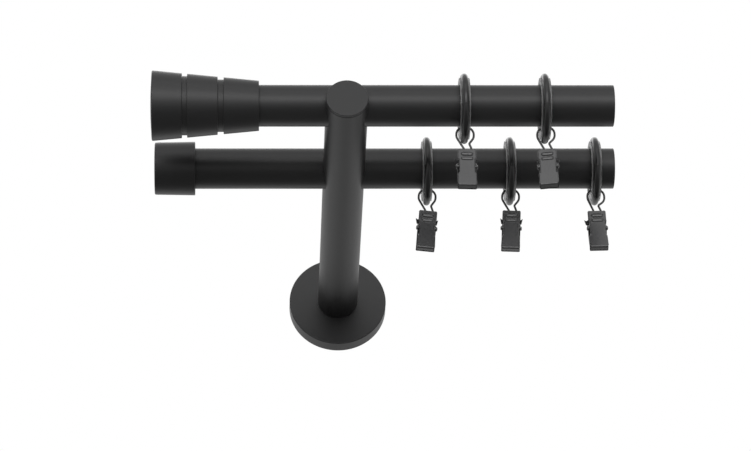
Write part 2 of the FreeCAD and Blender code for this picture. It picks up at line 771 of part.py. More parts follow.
def slot_corners(x_half, centre, half):
    """Corners of one pill-shaped rib."""
    inner = f"{x_half} - {half}"
    return [
        (f"-({inner})", f"{centre} - {half}"),
        (inner, f"{centre} - {half}"),
        (inner, f"{centre} + {half}"),
        (f"-({inner})", f"{centre} + {half}"),
    ]


def face_outline():
    """Front view of the clip's face: waisted between its head and its foot."""
    return mirrored_corners([
        ("dim.clip_foot_width / 2", "-dim.clip_foot"),
        ("dim.clip_width / 2", "-dim.waist_foot"),
        ("dim.clip_waist / 2", "-dim.waist_foot + dim.waist_slope"),
        ("dim.clip_waist / 2", "dim.waist_top - dim.waist_slope"),
        ("dim.clip_width / 2", "dim.waist_top"),
        ("dim.clip_width / 2", "dim.clip_top - dim.clip_corner"),
        ("dim.clip_width / 2 - dim.clip_corner", "dim.clip_top"),
    ])


def toothed_edge(half, tip, root, count):
    """Zigzag from +half to -half; tips and roots are heights along the second direction."""
    points = []
    for tooth in range(count):
        points.append((f"{half} * {1 - 2 * tooth / count}", tip))
        points.append((f"{half} * {1 - (2 * tooth + 1) / count}", root))
    points.append((f"-{half}", tip))
    return points


def clip_front(k):
    """Front half of the clip: face, toothed lip, two thumb ribs and two ears."""
    label = f"clip_front_{k}"
    body = new_body(label)
    face = outline(body, f"{label}_view", "XZ_Plane", face_outline())
    extrude(body, "Pad", face, f"{label}_face", "dim.clip_setback")
    hollow_out = outline(body, f"{label}_back", "XZ_Plane", mirrored_corners([
        ("dim.clip_width", "-dim.clip_foot * 2"),
        ("dim.clip_width", "dim.clip_top * 2"),
    ]))
    extrude(body, "Pocket", hollow_out, f"{label}_hollow", FACE_BACK, backwards=True)
    lip = outline(body, f"{label}_lip_view", "XY_Plane", [
        ("-dim.lip_width / 2", "-dim.clip_setback"),
        ("dim.lip_width / 2", "-dim.clip_setback"),
    ] + toothed_edge("dim.lip_width / 2", f"-{LIP_END}", f"-{LIP_END} - dim.tooth_depth", LIP_TEETH))
    extrude(body, "Pad", lip, f"{label}_lip", "dim.clip_foot + dim.sheet_metal", backwards=True)
    lip_cut = outline(body, f"{label}_lip_room", "XY_Plane", [
        ("-dim.clip_width", f"-{FACE_BACK}"),
        ("dim.clip_width", f"-{FACE_BACK}"),
        ("dim.clip_width", "dim.clip_setback"),
        ("-dim.clip_width", "dim.clip_setback"),
    ])
    extrude(body, "Pocket", lip_cut, f"{label}_lip_space", "dim.clip_foot")
    ears(body, label)
    ribs(body, label)
    place(body, *pin_centre(k), clip_rotation(k))


def ears(body, label):
    """Two ears that come back from the waist and hold the pin."""
    half = "dim.ear_height / 2"
    flank = outline(body, f"{label}_ear_view", "YZ_Plane", [
        (f"-{FACE_BACK}", f"-{half}"),
        ("0", "-dim.ear_round"),
        ("0", "dim.ear_round"),
        (f"-{FACE_BACK}", half),
    ], half_turns={1: ("DistanceX", "0")})
    extrude(body, "Pad", flank, f"{label}_ears", "dim.clip_waist", both=True)
    room = outline(body, f"{label}_ear_room", "YZ_Plane", [
        (f"-{FACE_BACK}", "-dim.ear_height"),
        ("dim.clip_setback", "-dim.ear_height"),
        ("dim.clip_setback", "dim.ear_height"),
        (f"-{FACE_BACK}", "dim.ear_height"),
    ])
    extrude(body, "Pocket", room, f"{label}_ear_space", "dim.clip_waist - dim.sheet_metal * 2", both=True)
    hole = circles(body, f"{label}_pin_round", "YZ_Plane", [("0", "0", f"{PIN_R} + dim.pin_fit")])
    extrude(body, "Pocket", hole, f"{label}_pin_hole", "dim.clip_width * 2", both=True)


def ribs(body, label):
    """Two raised pill-shaped ribs for the thumb, across the head of the face."""
    for rib in RIB_POINTS:
        corners = slot_corners("dim.rib_length / 2", f"dim.{rib}", "dim.rib_height / 2")
        inner = "(dim.rib_length / 2 - dim.rib_height / 2)"
        view = outline(body, f"{label}_{rib}_view", "XZ_Plane", corners,
                       half_turns={1: ("DistanceX", inner), 3: ("DistanceX", f"-{inner}")})
        extrude(body, "Pad", view, f"{label}_{rib}", "dim.clip_setback + dim.rib_rise")
        room = outline(body, f"{label}_{rib}_room", "XZ_Plane",
                       slot_corners("dim.clip_width / 2", f"dim.{rib}", "dim.rib_height"))
        extrude(body, "Pocket", room, f"{label}_{rib}_space", FACE_BACK, backwards=True)


def clip_back(k):
    """Back half of the clip: web, flared handle with a notched edge, two ears and jaw sides."""
    label = f"clip_back_{k}"
    body = new_body(label)
    sheet = "dim.sheet_metal"
    web = outline(body, f"{label}_side", "YZ_Plane", [
        (JAW_IN, f"-{JAW_FOOT}"),
        (f"{JAW_IN} + {sheet}", f"-{JAW_FOOT}"),
        (f"{WEB_IN} + {sheet}", KNEE),
        (f"dim.handle_depth + {sheet}", "dim.handle_height"),
        ("dim.handle_depth", "dim.handle_height"),
        (WEB_IN, KNEE),
    ])
    extrude(body, "Pad", web, f"{label}_web", "dim.handle_width", both=True)
    trim_back(body, label)
    jaw_ears(body, label)
    place(body, *pin_centre(k), clip_rotation(k))


def trim_back(body, label):
    """Cut the web to its front view: narrow below the handle, notched along the handle's edge."""
    narrow, wide = JAW_EAR_OUT, "dim.handle_width / 2"
    tip, root = "dim.handle_height", "dim.handle_height - dim.handle_notch"
    beyond = "dim.handle_height + dim.handle_notch"
    reach = "dim.handle_width"
    flank_foot = "-dim.clip_foot * 2"
    shoulder = "dim.handle_height - dim.handle_flank"
    for side, name in ((1, "right"), (-1, "left")):
        cut = outline(body, f"{label}_{name}_trim", "XZ_Plane", [
            (f"{side} * {narrow}", flank_foot),
            (f"{side} * {reach}", flank_foot),
            (f"{side} * {reach}", beyond),
            (f"{side} * {wide}", beyond),
            (f"{side} * {wide}", shoulder),
            (f"{side} * {narrow}", f"{shoulder} - dim.flank_slope"),
        ])
        extrude(body, "Pocket", cut, f"{label}_{name}_flank", "dim.handle_depth * 4", both=True)
    teeth = outline(body, f"{label}_edge_view", "XZ_Plane",
                    [(f"-{wide}", beyond), (wide, beyond)]
                    + toothed_edge(wide, tip, root, HANDLE_NOTCHES))
    extrude(body, "Pocket", teeth, f"{label}_edge", "dim.handle_depth * 4", both=True)


def jaw_ears(body, label):
    """Ears outside the front half's ears, and sides above the jaw."""
    into_web = "dim.sheet_metal / 2"
    ear_foot = "-dim.ear_height"
    flank = outline(body, f"{label}_ear_view", "YZ_Plane", [
        ("0", "-dim.ear_round"),
        (f"{web_in(ear_foot)} + {into_web}", ear_foot),
        (f"{WEB_IN} + {into_web}", KNEE),
        ("0", "dim.ear_round"),
    ], half_turns={3: ("DistanceX", "0")})
    outer = f"2 * {JAW_EAR_OUT}"
    inner = f"2 * {JAW_EAR_IN}"
    extrude(body, "Pad", flank, f"{label}_ears", outer, both=True)
    low = "(dim.jaw_gap - dim.clip_foot)"
    high = "(dim.jaw_side_height - dim.clip_foot)"
    side = outline(body, f"{label}_jaw_view", "YZ_Plane", [
        (f"{web_in(low)} - dim.jaw_side_depth", low),
        (f"{web_in(low)} + {into_web}", low),
        (f"{web_in(high)} + {into_web}", high),
    ])
    extrude(body, "Pad", side, f"{label}_jaw_sides", outer, both=True)
    room = outline(body, f"{label}_room_view", "YZ_Plane", [
        ("-dim.clip_setback", "-dim.clip_foot"),
        (web_in("-dim.clip_foot"), "-dim.clip_foot"),
        (WEB_IN, KNEE),
        (WEB_IN, "dim.clip_setback"),
        ("-dim.clip_setback", "dim.clip_setback"),
    ])
    extrude(body, "Pocket", room, f"{label}_room", inner, both=True)
    hole = circles(body, f"{label}_pin_round", "YZ_Plane", [("0", "0", f"{PIN_R} + dim.jaw_fit")])
    extrude(body, "Pocket", hole, f"{label}_pin_hole", "dim.handle_width * 2", both=True)


def clip_pin(k):
    """Rivet pin through the four ears, with a head at each end."""
    label = f"clip_pin_{k}"
    seat = f"({JAW_EAR_OUT} + dim.jaw_fit)"
    tip = f"({seat} + dim.pin_head_thickness)"
    pin = turned(label, [
        ("0", f"-{tip}"),
        ("dim.pin_head / 2", f"-{tip}"),
        ("dim.pin_head / 2", f"-{seat}"),
        (PIN_R, f"-{seat}"),
        (PIN_R, seat),
        ("dim.pin_head / 2", seat),
        ("dim.pin_head / 2", tip),
        ("0", tip),
    ])
    place(pin, *pin_centre(k), clip_rotation(k) * ALONG_POLE)


def leg_slope(radius, length, reach):
    """Angle off vertical of a leg tangent to the coil whose end reaches a given depth."""
    return math.atan2(length, radius) - math.acos(reach / math.hypot(radius, length))


def spring_angles(radius, length):
    """Slopes of the front and back legs, so that each ends on its half of the clip."""
    half_wire = value("dim.spring_wire / 2 + dim.spring_touch")
    front = leg_slope(radius, length, value(FACE_BACK) - half_wire)
    back = front
    for _ in range(SLOPE_STEPS):
        end_height = length * math.cos(back) - radius * math.sin(back)
        back = leg_slope(radius, length, value(handle_in(end_height)) - half_wire)
    return front, back


def clip_spring(k):
    """Torsion spring round the pin, between the loop's eyes, with a leg on each half of the clip."""
    radius, pitch, length = value(COIL_R), value("dim.spring_pitch"), value("dim.spring_leg")
    front, back = spring_angles(radius, length)
    first = front - math.pi / 2
    turns = value("dim.spring_turns") + (math.pi - back - front) / (2 * math.pi)
    coil = Part.makeHelix(pitch, pitch * turns, radius)
    coil.translate(FreeCAD.Vector(0, 0, -pitch * turns / 2))
    coil.rotate(FreeCAD.Vector(), FreeCAD.Vector(0, 0, 1), math.degrees(first))
    edge = coil.Edges[0]
    start, start_way = edge.valueAt(edge.FirstParameter), edge.tangentAt(edge.FirstParameter)
    end, end_way = edge.valueAt(edge.LastParameter), edge.tangentAt(edge.LastParameter)
    tip = start - start_way * length
    path = Part.Wire([Part.makeLine(tip, start), edge, Part.makeLine(end, end + end_way * length)])
    section = Part.Wire([Part.Circle(tip, start_way, value("dim.spring_wire / 2")).toShape()])
    spring = DOC.addObject("Part::Feature", f"clip_spring_{k}")
    spring.Label = f"clip_spring_{k}"
    spring.Shape = path.makePipeShell([section], True, True)
    x, y, z = pin_centre(k)
    middle = "((dim.right_leg - dim.left_leg) / 2)"
    place(spring, f"{x} + {middle} * cos(dim.lean_{k}) * cos(dim.turn_{k})",
          f"{y} + {middle} * cos(dim.lean_{k}) * sin(dim.turn_{k})",
          f"{z} - {middle} * sin(dim.lean_{k})", clip_rotation(k) * ALONG_POLE)
    PIECES.append(spring)


def build():
    """Every piece of the curtain pole."""
    wall_plate()
    wall_rose()
    rose_grub_screw()
    arm_screw()
    arm_base_insert()
    bracket_arm()
    arm_end_cap()
    pole("front_pole", FRONT_POLE_START, "dim.front_pole_end", "dim.front_reach")
    pole("back_pole", BACK_POLE_START, "dim.back_pole_end", "dim.back_reach")
    front_finial()
    back_end_cap()
    lock_screw("finial_grub_screw", "dim.finial_tip", "dim.finial_length - dim.lock_screw_inset",
               finial_radius("dim.finial_length - dim.lock_screw_inset"), "dim.front_reach")
    lock_screw("end_cap_grub_screw", "dim.cap_tip", "dim.cap_length - dim.lock_screw_inset",
               cap_radius("dim.cap_length - dim.lock_screw_inset"), "dim.back_reach")
    for k in POLE_OF:
        ring(k)
        ring_liner(k)
        hanger(k)
        clip_front(k)
        clip_back(k)
        clip_pin(k)
        clip_spring(k)


def check_and_export():
    """Stop at any failed object, then write one file for each piece."""
    DOC.recompute()
    failed = [item.Label for item in DOC.Objects if "Invalid" in item.State or "Error" in item.State]
    bad = [piece.Label for piece in PIECES if piece.Shape.isNull() or not piece.Shape.isValid()]
    if failed or bad:
        raise RuntimeError(f"failed objects {failed}, bad shapes {bad}")
    os.makedirs("parts", exist_ok=True)
    for piece in PIECES:
        piece.Shape.exportStep(f"parts/{piece.Label}.step")


build()
check_and_export()
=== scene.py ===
import json
import math
from dataclasses import dataclass

import bmesh
import bpy
from mathutils import Matrix, Vector


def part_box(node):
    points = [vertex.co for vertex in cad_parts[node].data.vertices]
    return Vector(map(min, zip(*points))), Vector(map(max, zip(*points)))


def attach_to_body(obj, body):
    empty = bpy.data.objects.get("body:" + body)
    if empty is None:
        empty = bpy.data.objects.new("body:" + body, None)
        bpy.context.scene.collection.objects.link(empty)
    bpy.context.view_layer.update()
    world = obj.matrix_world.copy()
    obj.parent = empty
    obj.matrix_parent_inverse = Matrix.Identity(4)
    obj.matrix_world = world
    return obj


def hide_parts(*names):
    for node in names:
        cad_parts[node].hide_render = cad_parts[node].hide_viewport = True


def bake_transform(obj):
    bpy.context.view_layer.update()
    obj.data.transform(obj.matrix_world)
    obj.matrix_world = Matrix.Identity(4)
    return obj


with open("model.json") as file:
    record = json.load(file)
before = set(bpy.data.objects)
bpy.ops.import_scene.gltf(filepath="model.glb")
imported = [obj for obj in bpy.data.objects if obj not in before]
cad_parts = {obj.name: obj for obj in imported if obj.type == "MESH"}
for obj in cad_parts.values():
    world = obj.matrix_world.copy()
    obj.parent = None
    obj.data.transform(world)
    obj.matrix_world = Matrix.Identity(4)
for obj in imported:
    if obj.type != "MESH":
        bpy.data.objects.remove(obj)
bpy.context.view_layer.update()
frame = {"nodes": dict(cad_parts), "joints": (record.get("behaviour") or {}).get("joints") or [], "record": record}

# Double curtain pole: the fine shape and the finish of every piece, the light and the camera
#
# The scene is in metres. A size whose name ends in _MM is in millimetres.

MM = 0.001
TINY = 1e-9
UNITS = (1, 2, 3, 4, 5)
ALONG_X = Vector((1, 0, 0))
INTO_ROOM = Vector((0, -1, 0))
UPWARD = Vector((0, 0, 1))
AXIS_X, AXIS_Z = 0, 2

# Camera, from the photograph's viewing angle
AZIMUTH = math.radians(2.510)
ELEVATION = math.radians(30.351)
ROLL = math.radians(-1.315)
TARGET = Vector((0.01977, -0.150, -0.02478))
DISTANCE = 2.1722
LENS_MM = 168.65
SENSOR_MM = 36.0
FURTHEST = 50

# Stage
FLOOR_DROP = 2.3
FLOOR_RADIUS = 3.2
FLOOR_SIDES = 128
FLOOR_COLOUR = (0.80, 0.80, 0.79, 1)
FLOOR_ROUGHNESS = 0.8
FLOOR_GLOW = 0.75
SURROUND_COLOUR = (1, 1, 1, 1)
SURROUND_SEEN = 1.0
SURROUND_DIFFUSE = 0.15

# Softboxes: bearing from the front towards +X and elevation in degrees, width and height in
# metres, power in watts
SOFTBOXES = {
    "front_softbox": (0, 8, 2.8, 1.2, 45.0),
    "upper_softbox": (0, 47, 2.8, 1.0, 12.0),
    "left_softbox": (-92, 15, 1.2, 1.4, 5.0),
    "rear_softbox": (180, 50, 2.8, 0.9, 12.0),
    "rear_reflector": (180, -38, 3.0, 1.8, 5.0),
}
LAMP_AIM = Vector((0.02, -0.2, -0.01))
LAMP_REACH = 2.4

# Noise in the finishes: how fine the clouds are, and the part of the noise that is used
CLOUDS_PER_METRE = 60.0
LINER_CLOUDS_PER_METRE = 90.0
CLOUD_DETAIL = 3.0
GRAIN_DETAIL = 2.0
NOISE_LOW = 0.3
NOISE_HIGH = 0.7

# Turned pieces
ROUND_STEPS = 4
ROUND_SHARE = 0.4
HOLD_MM = 0.05
ON_AXIS_MM = 1e-6
SMOOTH_ANGLE = math.radians(32)
SMALL_SIDES = 48
TUBE_SIDES = 192
WIDE_SIDES = 256
RIM_EDGE_MM = 0.18
MOUTH_EDGE_MM = 0.3
POLE_WALL_MM = 1.0
SOCKET_RADIUS_MM = 12.6
LOCK_HOLE_RADIUS_MM = 2.05
LOCK_HOLE_INSET_MM = 7.0

# Finial; each groove is its start from the face and its width
FINIAL_FACE_RADIUS_MM = 21.15
FINIAL_MOUTH_RADIUS_MM = 15.05
FINIAL_LENGTH_MM = 64.1
FINIAL_ROUND_MM = 1.0
FINIAL_DOME_MM = 0.8
FINIAL_SOCKET_MM = 38.0
FINIAL_GROOVES_MM = ((18.0, 3.2), (39.4, 3.6))
GROOVE_DEPTH_MM = 1.55
GROOVE_EDGE_MM = 0.2
DOME_STEPS = 8

# End cap
CAP_CLOSED_RADIUS_MM = 16.1
CAP_OPEN_RADIUS_MM = 16.5
CAP_FACE_MM = 3.0
CAP_ROUND_MM = 0.8

# Rose
ROSE_FACE_MM = 2.2
ROSE_RIM_MM = 3.0
ROSE_ROUND_MM = 0.6
ROSE_BORE_RADIUS_MM = 3.05
RIM_HOLE_RADIUS_MM = 1.55
RIM_HOLE_FROM_WALL_MM = 2.0
OVERRUN_MM = 1.0

# Arm, its saddles and its cap
ARM_WALL_MM = 2.2
SADDLE_RADIUS_MM = 12.65
SADDLE_STEPS = 64
CUT_REACH_MM = 20.0
POLE_RAISE_MM = 5.66
POLE_REACHES_MM = (240.0, 167.6)
ARM_CAP_STEM_MM = 2.4
ARM_CAP_STEM_RADIUS_MM = 10.58
ARM_CAP_BEVEL_MM = 0.35

# Clips: each in its own frame, X along its pin, Y away from the room, Z up
PITCH_DEG = {1: 6.0, 2: 8.0, 3: 1.0, 4: 0.0, 5: 4.0}
SHEET_MM = 0.6
SHEET_EDGE_MM = 0.08
SHEET_EDGE_STEPS = 2
SHEET_EDGE_ANGLE = math.radians(50)
BEND_MM = 0.5
BEND_STEPS = 4
EAR_ROUND_MM = 1.8
EAR_REACH_STEPS = 4
EAR_ROUND_STEPS = 6
EAR_END = math.radians(82)
FLAT_COLUMNS = 48
SIDE_COLUMNS = BEND_STEPS + EAR_REACH_STEPS + EAR_ROUND_STEPS
SHEET_COLUMNS = FLAT_COLUMNS + 2 * SIDE_COLUMNS

# Front half. The half widths are pairs of a height and the face's half width there, and the
# stops are pairs of a height and the number of rows that lead to it.
FACE_Y_MM = -3.2
FACE_EAR_MM = 2.6
FACE_TOP_MM = ((10.6, 5.1), (10.47, 5.4), (10.28, 5.54), (10.1, 5.6))
WAIST_FOOT_MM = -7.7
CORNER_RELIEF_Z_MM = -14.7
FOOT_Z_MM = -15.1
FACE_HALF_WIDTHS_MM = FACE_TOP_MM + (
    (4.3, 5.6), (3.3, 4.8), (-6.7, 4.8), (WAIST_FOOT_MM, 5.6), (FOOT_Z_MM, 5.85))
FACE_STOPS = [(height, 1) for height, _ in FACE_TOP_MM] + [
    (FACE_EAR_MM, 36), (-FACE_EAR_MM, 14), (WAIST_FOOT_MM, 16), (CORNER_RELIEF_Z_MM, 14), (FOOT_Z_MM, 2)]
FOOT_BEND_MM = 0.6
LIP_HALF_WIDTH_MM = 5.1
LIP_END_MM = 0.0
LIP_STEPS = 8
LIP_TEETH = 6
TOOTH_MM = 0.6
RIB_HEIGHTS_MM = (7.1, 3.7)
RIB_LENGTH_MM = 6.8
RIB_WIDTH_MM = 2.2
RIB_RISE_MM = 0.7
MOAT_SHARE = 0.35
MOAT_DEPTH_MM = 0.16

# Back half. The web and the handle run through three spots, each a depth and a height, and its
# half widths and stops are pairs like those of the front half.
WEB_FOOT = (0.3, -16.0)
WEB_KNEE = (3.38, 1.8)
WEB_TIP = (7.1, 11.0)
KNEE_BEND_MM = 1.6
BACK_HALF_WIDTH_MM = 5.7
JAW_SIDE_MM = (-15.1, -9.2)
JAW_SIDE_DEPTH_MM = 2.2
JAW_SIDE_TRIM_MM = 0.2
BACK_EAR_MM = (-5.2, 1.8)
HANDLE_START_MM = 6.4
HANDLE_RELIEF_MM = 0.8
HANDLE_HALF_WIDTHS_MM = ((HANDLE_START_MM, 6.25), (WEB_TIP[1], 6.9))
HANDLE_NOTCHES = 6
NOTCH_MM = 1.3
NOTCH_START_MM = 9.0
NOTCH_STEPS = 6
WEB_STOPS = [(WEB_FOOT[1], 1), (JAW_SIDE_MM[0], 3), (JAW_SIDE_MM[1], 16), (BACK_EAR_MM[0], 8),
             (BACK_EAR_MM[1], 22), (HANDLE_START_MM - HANDLE_RELIEF_MM, 12)]
HANDLE_STOPS = [(HANDLE_START_MM, 1), (NOTCH_START_MM, 10)]

# Rivet; each spot of the dome is a share of the head's radius and how far it lies
# below the tip
PIN_RADIUS_MM = 1.0
PIN_SEAT_MM = 5.78
PIN_TIP_MM = 6.58
PIN_HEAD_RADIUS_MM = 1.35
PIN_DOME = ((0, 0), (0.5, 0.06), (0.85, 0.225), (1, 0.45))
FRONT_PIN_HOLE_MM = 1.05
BACK_PIN_HOLE_MM = 1.08


def node_tree(material):
    """Fresh node tree with its output and main shader."""
    material.use_nodes = True
    tree = material.node_tree
    tree.nodes.clear()
    output = tree.nodes.new("ShaderNodeOutputMaterial")
    shader = tree.nodes.new("ShaderNodeBsdfPrincipled")
    tree.links.new(shader.outputs["BSDF"], output.inputs["Surface"])
    return tree, shader


def noise(tree, cells_per_metre, detail):
    """Noise in the piece's own coordinates."""
    place = tree.nodes.new("ShaderNodeTexCoord")
    texture = tree.nodes.new("ShaderNodeTexNoise")
    texture.inputs["Scale"].default_value = cells_per_metre
    texture.inputs["Detail"].default_value = detail
    tree.links.new(place.outputs["Object"], texture.inputs["Vector"])
    return texture.outputs["Fac"]


def spread(tree, source, low, high):
    """Noise value turned into a range."""
    remap = tree.nodes.new("ShaderNodeMapRange")
    remap.inputs["From Min"].default_value = NOISE_LOW
    remap.inputs["From Max"].default_value = NOISE_HIGH
    remap.inputs["To Min"].default_value = low
    remap.inputs["To Max"].default_value = high
    tree.links.new(source, remap.inputs["Value"])
    return remap.outputs["Result"]


def tint(tree, source, dark, light):
    """Colour that moves between two tones with a noise value."""
    ramp = tree.nodes.new("ShaderNodeValToRGB")
    ramp.color_ramp.elements[0].position = NOISE_LOW
    ramp.color_ramp.elements[0].color = (*dark, 1)
    ramp.color_ramp.elements[1].position = NOISE_HIGH
    ramp.color_ramp.elements[1].color = (*light, 1)
    tree.links.new(source, ramp.inputs["Fac"])
    return ramp.outputs["Color"]


def coated(name, dark, light, gloss, grain_mm, depth_mm, clouds_per_metre=CLOUDS_PER_METRE, sockets=None):
    """Surface with cloudy colour, uneven gloss and fine raised grain. Gloss is the roughness's
    range, and sockets are values that are the same all over."""
    material = bpy.data.materials.new(name)
    tree, shader = node_tree(material)
    grain = noise(tree, 1 / (grain_mm * MM), GRAIN_DETAIL)
    clouds = noise(tree, clouds_per_metre, CLOUD_DETAIL)
    tree.links.new(tint(tree, clouds, dark, light), shader.inputs["Base Color"])
    tree.links.new(spread(tree, grain, *gloss), shader.inputs["Roughness"])
    bump = tree.nodes.new("ShaderNodeBump")
    bump.inputs["Distance"].default_value = depth_mm * MM
    tree.links.new(grain, bump.inputs["Height"])
    tree.links.new(bump.outputs["Normal"], shader.inputs["Normal"])
    for socket, value in (sockets or {}).items():
        shader.inputs[socket].default_value = value
    return material


def powder_coat():
    return coated("satin_black_powder_coat", (0.0075, 0.0075, 0.0078), (0.0090, 0.0090, 0.0093),
                  (0.40, 0.48), grain_mm=0.35, depth_mm=0.004, sockets={"Specular IOR Level": 0.3})


def black_lacquer():
    return coated("smooth_black_lacquer", (0.006, 0.006, 0.0062), (0.008, 0.008, 0.0082), (0.27, 0.34),
                  grain_mm=0.5, depth_mm=0.002, sockets={"Specular IOR Level": 0.3})


def black_wire():
    return coated("black_plated_wire", (0.012, 0.012, 0.012), (0.018, 0.018, 0.018), (0.25, 0.38),
                  grain_mm=0.2, depth_mm=0.003)


def clip_lacquer():
    return coated("lacquered_sheet_steel", (0.024, 0.024, 0.025), (0.036, 0.036, 0.037), (0.20, 0.30),
                  grain_mm=0.25, depth_mm=0.004)


def spring_wire():
    return coated("oiled_spring_steel", (0.09, 0.09, 0.09), (0.14, 0.14, 0.14), (0.28, 0.40),
                  grain_mm=0.3, depth_mm=0.002, sockets={"Metallic": 1.0})


def zinc_plate():
    return coated("bright_zinc", (0.48, 0.49, 0.51), (0.60, 0.61, 0.63), (0.26, 0.40),
                  grain_mm=0.6, depth_mm=0.003, sockets={"Metallic": 1.0})


def black_oxide():
    return coated("black_oxide_screw", (0.012, 0.012, 0.012), (0.020, 0.020, 0.020), (0.35, 0.5),
                  grain_mm=0.2, depth_mm=0.003)


def clear_plastic():
    """Clear, slightly smoky plastic with a faintly frosted skin."""
    return coated("smoky_clear_plastic", (0.34, 0.34, 0.34), (0.42, 0.42, 0.42), (0.38, 0.48),
                  grain_mm=0.4, depth_mm=0.004, clouds_per_metre=LINER_CLOUDS_PER_METRE,
                  sockets={"Transmission Weight": 1.0, "IOR": 1.38})


FINISH = {
    "satin_black": powder_coat(),
    "ring_black": black_lacquer(),
    "liner_clear": clear_plastic(),
    "wire_black": black_wire(),
    "clip_black": clip_lacquer(),
    "spring_steel": spring_wire(),
    "zinc_steel": zinc_plate(),
    "black_screw": black_oxide(),
}
SLOT_OF = {part["node"]: part["material_slot"] for part in frame["record"]["subparts"]}


def stand(spot, along):
    """Frame whose Z points along a level direction and whose X points up; its unit is the millimetre."""
    turned = Matrix((UPWARD, along.cross(UPWARD), along)).transposed().to_4x4()
    return Matrix.Translation(spot) @ turned @ Matrix.Scale(MM, 4)


def axis_of(node, along):
    """Frame at the start of a node's own axis along X or into the room, and its length."""
    low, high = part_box(node)
    middle = (low + high) / 2
    if along == ALONG_X:
        return stand(Vector((low.x, middle.y, middle.z)), along), (high.x - low.x) / MM
    return stand(Vector((middle.x, high.y, middle.z)), along), (high.y - low.y) / MM


def outer_radius(node, across):
    """Half of a node's size across its axis, in millimetres."""
    low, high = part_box(node)
    return (high[across] - low[across]) / 2 / MM


def rounded(corners):
    """Profile with rounded corners; each corner is a radius, a height and how far it is rounded.
    A held point on both sides of a rounding keeps the flat stretches flat."""
    points = []
    for index, (radius, height, size) in enumerate(corners):
        here = Vector((radius, height))
        if not size:
            points.append(here)
            continue
        before = Vector(corners[index - 1][:2]) - here
        after = Vector(corners[(index + 1) % len(corners)][:2]) - here
        half = before.angle(after) / 2
        reach = min(size / math.tan(half), ROUND_SHARE * before.length, ROUND_SHARE * after.length)
        before.normalize()
        after.normalize()
        centre = here + (before + after).normalized() * (reach / math.cos(half))
        first = here + before * reach - centre
        last = here + after * reach - centre
        points.append(here + before * (reach + HOLD_MM))
        turns = [first.slerp(last, step / ROUND_STEPS).normalized() for step in range(ROUND_STEPS + 1)]
        points += [centre + turn * first.length for turn in turns]
        points.append(here + after * (reach + HOLD_MM))
    return points


def lathe(points, sides, frame_at, closed=False):
    """Mesh turned about its own Z; a point on the axis closes its end."""
    shape = bmesh.new()
    rings = []
    for radius, height in points:
        turns = range(sides) if radius > ON_AXIS_MM else range(1)
        angles = [2 * math.pi * side / sides for side in turns]
        rings.append([shape.verts.new((radius * math.cos(a), radius * math.sin(a), height))
                      for a in angles])
    pairs = list(zip(rings, rings[1:]))
    if closed:
        pairs.append((rings[-1], rings[0]))
    for low, high in pairs:
        for side in range(sides):
            after = (side + 1) % sides
            corners = [low[side % len(low)], low[after % len(low)]]
            corners += [high[after % len(high)], high[side % len(high)]]
            shape.faces.new(list(dict.fromkeys(corners)))
    bmesh.ops.recalc_face_normals(shape, faces=shape.faces)
    shape.transform(frame_at)
    return shape


def placed(name, mesh):
    """Object in the scene that holds a mesh."""
    item = bpy.data.objects.new(name, mesh)
    bpy.context.collection.objects.link(item)
    return item


def solid(name, shape):
    """Object with a mesh made from a shape."""
    mesh = bpy.data.meshes.new(name)
    shape.to_mesh(mesh)
    shape.free()
    return placed(name, mesh)


def settle(item):
    """Make what the modifiers show the object's own mesh."""
    bpy.context.view_layer.update()
    graph = bpy.context.evaluated_depsgraph_get()
    mesh = bpy.data.meshes.new_from_object(item.evaluated_get(graph))
    item.modifiers.clear()
    item.data = mesh


def cut(item, shape):
    """Take a shape out of the object."""
    tool = solid("cutter", shape)
    step = item.modifiers.new("cut", "BOOLEAN")
    step.operation = "DIFFERENCE"
    step.solver = "EXACT"
    step.object = tool
    settle(item)
    bpy.data.objects.remove(tool)


def drill(item, frame_at, radius, start, end):
    """Round hole along the Z of a frame."""
    cut(item, lathe([(0, start), (radius, start), (radius, end), (0, end)], SMALL_SIDES, frame_at))


def drill_upward(item, frame_at, height, radius, start, end):
    """Round hole through the upper wall of a turned piece, at a height along its axis."""
    place = frame_at @ Matrix.Translation((0, 0, height)) @ Matrix.Rotation(math.pi / 2, 4, "Y")
    drill(item, place, radius, start, end)


def attach(item, body, slot, node):
    """Smooth the finished piece, give it its finish and let it stand for its node."""
    item.data.shade_smooth()
    item.data.set_sharp_from_angle(angle=SMOOTH_ANGLE)
    item.data.materials.clear()
    item.data.materials.append(FINISH[slot])
    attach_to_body(item, body)
    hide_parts(node)


def tube(name, frame_at, length, outer, wall):
    """Round tube with softened rims."""
    bore = outer - wall
    section = rounded([(bore, 0, RIM_EDGE_MM), (outer, 0, RIM_EDGE_MM), (outer, length, RIM_EDGE_MM),
                       (bore, length, RIM_EDGE_MM)])
    return solid(name, lathe(section, TUBE_SIDES, frame_at, closed=True))


def pole(node):
    """Thin tube from end to end of a pole."""
    frame_at, length = axis_of(node, ALONG_X)
    item = tube(f"{node}_tube", frame_at, length, outer_radius(node, AXIS_Z), POLE_WALL_MM)
    attach(item, "root", "satin_black", node)


def lock_hole(item, frame_at, mouth):
    """Hole for the screw that locks a socket on its pole."""
    drill_upward(item, frame_at, mouth - LOCK_HOLE_INSET_MM, LOCK_HOLE_RADIUS_MM, SOCKET_RADIUS_MM / 2,
                 FINIAL_FACE_RADIUS_MM)


def finial_radius(height):
    """Radius of the cone at a height from its face."""
    fall = (FINIAL_FACE_RADIUS_MM - FINIAL_MOUTH_RADIUS_MM) / FINIAL_LENGTH_MM
    return FINIAL_FACE_RADIUS_MM - fall * height


